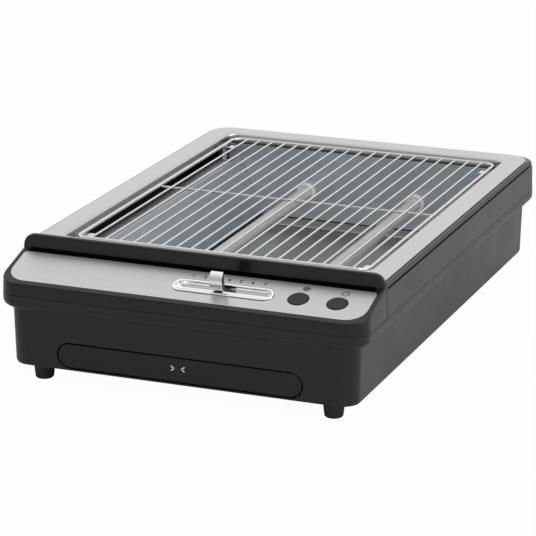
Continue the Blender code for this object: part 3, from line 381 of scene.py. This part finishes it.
def outline_rod(name, width, depth, corner, diameter, place):
    """A closed round rod along a rectangle with round corners."""
    bpy.ops.object.select_all(action='DESELECT')
    bpy.ops.mesh.primitive_plane_add(size=1, location=place)
    rod = bpy.context.object
    rod.scale = (width, depth, 1)
    bpy.ops.object.transform_apply(location=False, rotation=False, scale=True)
    bpy.ops.object.mode_set(mode='EDIT')
    bpy.ops.mesh.select_all(action='SELECT')
    bpy.ops.mesh.bevel(offset=corner, offset_type='OFFSET', segments=10, affect='VERTICES')
    bpy.ops.mesh.delete(type='ONLY_FACE')
    bpy.ops.object.mode_set(mode='OBJECT')
    bpy.ops.object.convert(target='CURVE')
    rod.data.bevel_depth = diameter / 2
    rod.data.bevel_resolution = 4
    bpy.ops.object.convert(target='MESH')
    rod = bpy.context.object
    return smooth(settle(rod, name), 60)


rim = outline_rod("rack_rim", 2 * rim_half, rim_back - rim_front, rim_corner, rim_rod,
                  (0, rim_middle, rack_z))
dress(rim, wire_chrome, "rack")
print("rim faces:", len(rim.data.polygons))

# %% [markdown]
# ## The wires of the rack
# The long wires run from the front of the rim to its back at one even pitch. One is made and copied,
# each copy with a mesh of its own, and the cross wire lies under them, where it is welded on. They
# are joined, because the rack moves as one piece.

# %% The wires
wire_rod = 1.6 * MM
wire_count = 19
cross_drop = 1.4 * MM
pitch = 2 * rim_half / (wire_count + 1)
first_x = -pitch * (wire_count - 1) / 2
along_y = (math.radians(90), 0, 0)
along_x = (0, math.radians(90), 0)


def straight_wire(name, length, diameter, place, turn):
    """A straight round wire with rounded ends."""
    bpy.ops.object.select_all(action='DESELECT')
    bpy.ops.mesh.primitive_cylinder_add(vertices=16, radius=diameter / 2, depth=length,
                                        location=place, rotation=turn)
    wire = bevelled(settle(bpy.context.object, name), diameter * 0.2)
    return smooth(wire, 50)


wires = straight_wire("rack_wires", rim_back - rim_front, wire_rod,
                      (first_x, rim_middle, rack_z), along_y)
others = []
for k in range(1, wire_count):
    twin = wires.copy()
    twin.data = wires.data.copy()
    twin.data.transform(Matrix.Translation((pitch * k, 0, 0)))
    bpy.context.scene.collection.objects.link(twin)
    others.append(twin)
others.append(straight_wire("cross", 2 * rim_half, wire_rod,
                            (0, rim_middle, rack_z - cross_drop), along_x))
only(wires)
for other in others:
    other.select_set(True)
bpy.ops.object.join()
settle(wires, "rack_wires")
dress(wires, wire_chrome, "rack")
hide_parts("rack")
print("wires:", wire_count, "pitch in mm:", round(pitch / MM, 2))

# %% [markdown]
# ## Quartz tubes
# A heater is a quartz tube with a coil in it. A rounder tube takes the place of the faceted solid: a
# cylinder whose two ends are inset and pushed in, so that each end reads as an open tube with a wall.
# The middle may stay solid, because the milky quartz hides it.

# %% The tubes of the heaters
tube_wall = 1.2 * MM
tube_bore = 10 * MM
lip_radius = 0.2 * MM


def tube(source, name):
    """A round tube in the place of a faceted one."""
    low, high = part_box(source)
    middle = (low + high) / 2
    radius = (high.x - low.x) / 2
    bpy.ops.object.select_all(action='DESELECT')
    bpy.ops.mesh.primitive_cylinder_add(vertices=48, radius=radius, depth=high.y - low.y,
                                        location=middle, rotation=along_y)
    piece = bpy.context.object
    bpy.ops.object.mode_set(mode='EDIT')
    bpy.ops.mesh.select_mode(type='FACE')
    bpy.ops.mesh.select_all(action='DESELECT')
    bpy.ops.object.mode_set(mode='OBJECT')
    for face in piece.data.polygons:
        face.select = abs(face.normal.z) > 0.9
    bpy.ops.object.mode_set(mode='EDIT')
    bpy.ops.mesh.inset(thickness=tube_wall)
    bpy.ops.mesh.extrude_region_shrink_fatten(TRANSFORM_OT_shrink_fatten={"value": -tube_bore})
    bpy.ops.object.mode_set(mode='OBJECT')
    piece = smooth(bevelled(settle(piece, name), lip_radius), 40)
    dress(piece, quartz, "base")
    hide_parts(source)
    return piece


for side in sides:
    made = tube("heater_tube_" + side, "quartz_" + side)
    print(made.name, "faces:", len(made.data.polygons))

# %% [markdown]
# ## Holders, feet and gland
# The ceramic holders, the rubber feet and the gland of the mains lead are turned or moulded round
# shapes that the solids already have. They get a soft edge, and the angle for smooth shading is
# wider than for sheet, so that their facets disappear.

# %% Round pieces kept from the solids
round_pieces = [("cord_gland", "gland", foot_rubber, "soft_rubber")]
for end in ends:
    for side in sides:
        corner = "%s_%s" % (end, side)
        round_pieces.append(("ceramic_holder_" + corner, "ceramic_" + corner, ceramic, "white_ceramic"))
        round_pieces.append(("foot_" + corner, "rubber_foot_" + corner, foot_rubber, "soft_rubber"))
for source, name, finish, slot in round_pieces:
    piece = smooth(bevelled(copied(source, name), lip_radius), 45)
    dress(piece, finish, "base")
    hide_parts(source)
print("round pieces:", len(round_pieces))

# %% [markdown]
# ## Moving pieces in front
# The knob with its carriage, the two buttons and the tray with its front each ride on a body of their
# own, so that they move in the poses. The buttons look flat in the light of a studio, so the dish in
# their tops is made shallow: points near the top are lifted most of the way, measured square to the
# panel.

# %% Knob, buttons and tray
dish_depth = 1.2 * MM
dish_share = 0.3


def flattened(button):
    """Makes the dish in a button's top shallow."""
    to_panel = panel_frame.inverted()
    top = max((to_panel @ vertex.co).z for vertex in button.data.vertices)
    for vertex in button.data.vertices:
        place = to_panel @ vertex.co
        if place.z > top - dish_depth:
            place.z = top - dish_share * (top - place.z)
            vertex.co = panel_frame @ place


for source, name, finish, body, slot, radius in (
        ("slider_knob", "knob_band", dish_chrome, "slider", "bright_chrome", 0.25 * MM),
        ("slider_carriage", "knob_core", button_black, "slider", "dark_plastic", 0.15 * MM),
        ("defrost_button", "button_defrost", button_black, "defrost", "dark_plastic", 0.25 * MM),
        ("power_button", "button_power", button_black, "power", "dark_plastic", 0.25 * MM),
        ("tray_front", "tray_face", tray_black, "tray", "black_plastic", 0.2 * MM),
        ("crumb_tray", "tray_pan", tray_sheet, "tray", "plated_steel", 0.15 * MM)):
    piece = copied(source, name)
    if source.endswith("button"):
        flattened(piece)
    piece = smooth(bevelled(piece, radius), 40)
    dress(piece, finish, body)
    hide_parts(source)
print("moving pieces done")

# %% [markdown]
# ## Hidden solids
# What a buyer seldom or never sees keeps its solid and only gets a finish: the material slots of the
# object are emptied and one material put in. The mesh itself stays as it came.

# %% Finishes for the hidden solids
hidden = {
    laminate: ["circuit_board"],
    component: ["slide_potentiometer", "defrost_switch", "power_switch", "relay", "capacitor",
                "tray_latch"],
    tray_sheet: ["heat_shield"] + ["tray_runner_" + side for side in sides]
                + ["housing_screw_%d" % k for k in range(1, 5)],
    ceramic: ["terminal_block"],
    coil_metal: ["heating_coil_" + side for side in sides],
}
for finish, sources in hidden.items():
    for source in sources:
        nodes[source].data.materials.clear()
        nodes[source].data.materials.append(finish)
print("hidden solids:", sum(len(sources) for sources in hidden.values()))

# %% [markdown]
# ## Numbers on the panel
# The browning scale has plain numbers from 1 to 7, printed on the steel. A texture could draw them,
# but a mesh stays sharp at any distance, so each is a text object that becomes a mesh a few
# hundredths of a millimetre thick. A small offset fattens the thin strokes of the font.

# %% The browning scale
print_height = 0.03 * MM
number_pitch = 8.6 * MM
number_size = 4.6 * MM
number_down = 6.0 * MM
slider_middle = 25.5 * MM
number_count = 7
scale_start = slider_middle - number_pitch * (number_count - 1) / 2


def on_panel(piece, x, y, name):
    """Lays a flat piece on the panel, at a place along it and up its slope."""
    piece.matrix_world = panel_frame @ Matrix.Translation((x, y, print_height))
    return dress(settle(piece, name), ink, "base")


def lettered(text, size):
    """A flat number as a mesh, centred on the origin."""
    bpy.ops.object.select_all(action='DESELECT')
    bpy.ops.object.text_add()
    mark = bpy.context.object
    mark.data.body = text
    mark.data.size = size
    mark.data.align_x = 'CENTER'
    mark.data.align_y = 'CENTER'
    mark.data.extrude = 0.02 * MM
    mark.data.offset = 0.10 * MM
    bpy.ops.object.convert(target='MESH')
    return bpy.context.object


for k in range(number_count):
    number = lettered(str(k + 1), number_size)
    on_panel(number, scale_start + k * number_pitch, -number_down, "number_%d" % (k + 1))
print("numbers:", number_count, "pitch in mm:", round(number_pitch / MM, 2))

# %% [markdown]
# ## Signs
# A snowflake stands for thawing, a broken ring with a bar for standby, and two chevrons on the tray
# show where to press. Each is drawn as a list of lines, and every line becomes a short flat stroke.
# The strokes of a sign are joined into one mesh.

# %% Helpers for signs
stroke_height = 0.04 * MM


def strokes(lines, width):
    """Flat strokes between pairs of points, as one mesh in the plane of x and y."""
    made = []
    for start, end in lines:
        run = Vector(end) - Vector(start)
        middle = (Vector(end) + Vector(start)) / 2
        bpy.ops.object.select_all(action='DESELECT')
        bpy.ops.mesh.primitive_cube_add(size=1, location=(middle.x, middle.y, 0))
        stroke = bpy.context.object
        stroke.scale = (run.length + width, width, stroke_height)
        stroke.rotation_euler = (0, 0, math.atan2(run.y, run.x))
        made.append(bevelled(settle(stroke, "stroke"), width * 0.2, 1))
    only(made[0])
    for stroke in made:
        stroke.select_set(True)
    bpy.ops.object.join()
    return bpy.context.object


def turned(points, degrees):
    """The same points turned round the origin."""
    spin = Matrix.Rotation(math.radians(degrees), 2)
    return [tuple(spin @ Vector(point)) for point in points]


print("sign helpers ready")

# %% [markdown]
# ## Signs above the buttons
# The snowflake repeats one arm with its fork six times. The ring of the standby sign leaves a gap at
# the top, through which the bar stands.

# %% Snowflake and standby sign
arm = 2.4 * MM
snow_place = (80.6 * MM, -5.4 * MM)
standby_place = (108.1 * MM, -5.8 * MM)
snow_arm = [(arm, 0), (0.55 * arm, 0), (0.9 * arm, 0.35 * arm), (0.9 * arm, -0.35 * arm)]
snow_lines = []
for k in range(6):
    tip, fork, left, right = turned(snow_arm, 60 * k + 30)
    snow_lines += [((0, 0), tip), (fork, left), (fork, right)]
on_panel(strokes(snow_lines, 0.5 * MM), *snow_place, "sign_snow")

ring_start = 130
ring_step = 28
ring = [turned([(arm, 0)], ring_start + ring_step * k)[0] for k in range(11)]
bar = ((0, 0.2 * arm), (0, 1.25 * arm))
standby_lines = list(zip(ring[:-1], ring[1:])) + [bar]
on_panel(strokes(standby_lines, 0.7 * MM), *standby_place, "sign_standby")
print("signs above the buttons: 2")

# %% [markdown]
# ## Sign on the tray
# The tray opens when it is pressed in, so two pale chevrons point at the middle of its front. They
# are drawn flat and turned upright, and they ride on the tray.

# %% Chevrons
chevron_inner = 2.6 * MM
chevron_outer = 4.6 * MM
chevron_half = 1.4 * MM
tray_sign_z = 23.9 * MM
sign_depth = 0.01 * MM
chevron_lines = []
for side in (-1, 1):
    point = (side * chevron_inner, 0)
    chevron_lines += [((side * chevron_outer, -chevron_half), point)]
    chevron_lines += [(point, (side * chevron_outer, chevron_half))]
press = strokes(chevron_lines, 0.8 * MM)
on_tray = Matrix.Translation((0, tray_low.y - sign_depth, tray_sign_z))
press.matrix_world = on_tray @ Matrix.Rotation(math.radians(90), 4, 'X')
dress(settle(press, "sign_press"), pale_ink, "tray")
print("tray sign height in mm:", round(tray_sign_z / MM, 1))

# %% [markdown]
# ## The floor
# The object stands on a plain white floor. More light would make the floor white but wash out the
# object, so the floor glows, and only for the camera's own rays. A small share stays lit by the
# lamps, and keeps the object's soft shadow.

# %% Floor
scene = bpy.context.scene
scene.view_settings.view_transform = 'Standard'
floor_size = 12
glow_share = 0.97
bpy.ops.object.select_all(action='DESELECT')
bpy.ops.mesh.primitive_plane_add(size=floor_size, location=(0, 0, 0))
floor = bpy.context.object
floor.name = "floor"

floor_white = plain("floor_white", (0.90, 0.90, 0.90), 0.9)
rays = node(floor_white, "ShaderNodeLightPath")
share = node(floor_white, "ShaderNodeMath", {0: rays.outputs["Is Camera Ray"]}, operation='MULTIPLY')
share.inputs[1].default_value = glow_share
glow = node(floor_white, "ShaderNodeEmission")
lit = floor_white.node_tree.nodes["Principled BSDF"]
mix = node(floor_white, "ShaderNodeMixShader",
           {0: share.outputs["Value"], 1: lit.outputs["BSDF"], 2: glow.outputs["Emission"]})
output = floor_white.node_tree.nodes["Material Output"]
floor_white.node_tree.links.new(mix.outputs["Shader"], output.inputs["Surface"])
floor.data.materials.append(floor_white)
print("share of the floor that glows:", glow_share)

# %% [markdown]
# ## The world
# The world is white where the camera, a reflection or a view through quartz meets it, and half as
# strong where it lights a matt surface. Towards the front it grows darker, like a studio whose
# camera side is dim, which keeps the black front of the housing black. The camera still sees white.

# %% World
world_light = 0.50
front_light = 0.45
world = bpy.data.worlds.new("studio")
scene.world = world
world.use_nodes = True


def larger(first, second):
    """The larger of two values in the world's nodes."""
    return node(world, "ShaderNodeMath", {0: first, 1: second}, operation='MAXIMUM').outputs["Value"]


rays = node(world, "ShaderNodeLightPath")
seen = larger(rays.outputs["Is Camera Ray"], rays.outputs["Is Glossy Ray"])
seen = larger(seen, rays.outputs["Is Transmission Ray"])
level = node(world, "ShaderNodeMapRange", {"Value": seen}, To_Min=world_light, To_Max=1.0)
direction = node(world, "ShaderNodeTexCoord").outputs["Generated"]
split = node(world, "ShaderNodeSeparateXYZ", {"Vector": direction})
front = node(world, "ShaderNodeMapRange", {"Value": split.outputs["Y"]},
             From_Min=-0.9, From_Max=-0.1, To_Min=front_light, To_Max=1.0)
shade = larger(front.outputs["Result"], rays.outputs["Is Camera Ray"])
strength = node(world, "ShaderNodeMath", {0: level.outputs["Result"], 1: shade}, operation='MULTIPLY')
back = world.node_tree.nodes["Background"]
back.inputs["Color"].default_value = (1, 1, 1, 1)
world.node_tree.links.new(strength.outputs["Value"], back.inputs["Strength"])
print("world light on matt surfaces:", world_light)

# %% [markdown]
# ## Lamps
# Two soft square lamps shape the object: one above the front, out of the way of the panel's
# reflection, and a weaker one from the right, which lifts the long side.

# %% Lamps
lamp_aim = (0, 0, 0.05)


def softbox(name, place, size, power):
    """A square studio lamp that looks at the object."""
    lamp = bpy.data.lights.new(name, 'AREA')
    lamp.size = size
    lamp.energy = power
    holder = bpy.data.objects.new(name, lamp)
    holder.location = place
    holder.rotation_euler = (Vector(lamp_aim) - Vector(place)).to_track_quat('-Z', 'Y').to_euler()
    scene.collection.objects.link(holder)
    return holder


softbox("top_light", (0.5, -0.8, 1.5), 1.2, 9)
softbox("right_light", (1.6, -0.4, 0.9), 1.0, 7)
print("lamps:", [lamp.name for lamp in bpy.data.lights])

# %% [markdown]
# ## Camera
# The camera stands where the photograph's did. Its place and long lens were fitted to the edges of
# the housing: from the front right and above, and far enough away that the sides run almost parallel.

# %% The camera
camera_place = (684.6 * MM, -1762.6 * MM, 627.7 * MM)
camera_tilt = math.radians(72.67)
camera_turn = math.radians(21.58)
lens = bpy.data.cameras.new("camera")
lens.lens = 182.6
lens.sensor_width = 36
lens.clip_end = 20
camera = bpy.data.objects.new("camera", lens)
camera.location = camera_place
camera.rotation_euler = (camera_tilt, 0, camera_turn)
scene.collection.objects.link(camera)
scene.camera = camera
print("camera distance in m:", round(camera.location.length, 3))
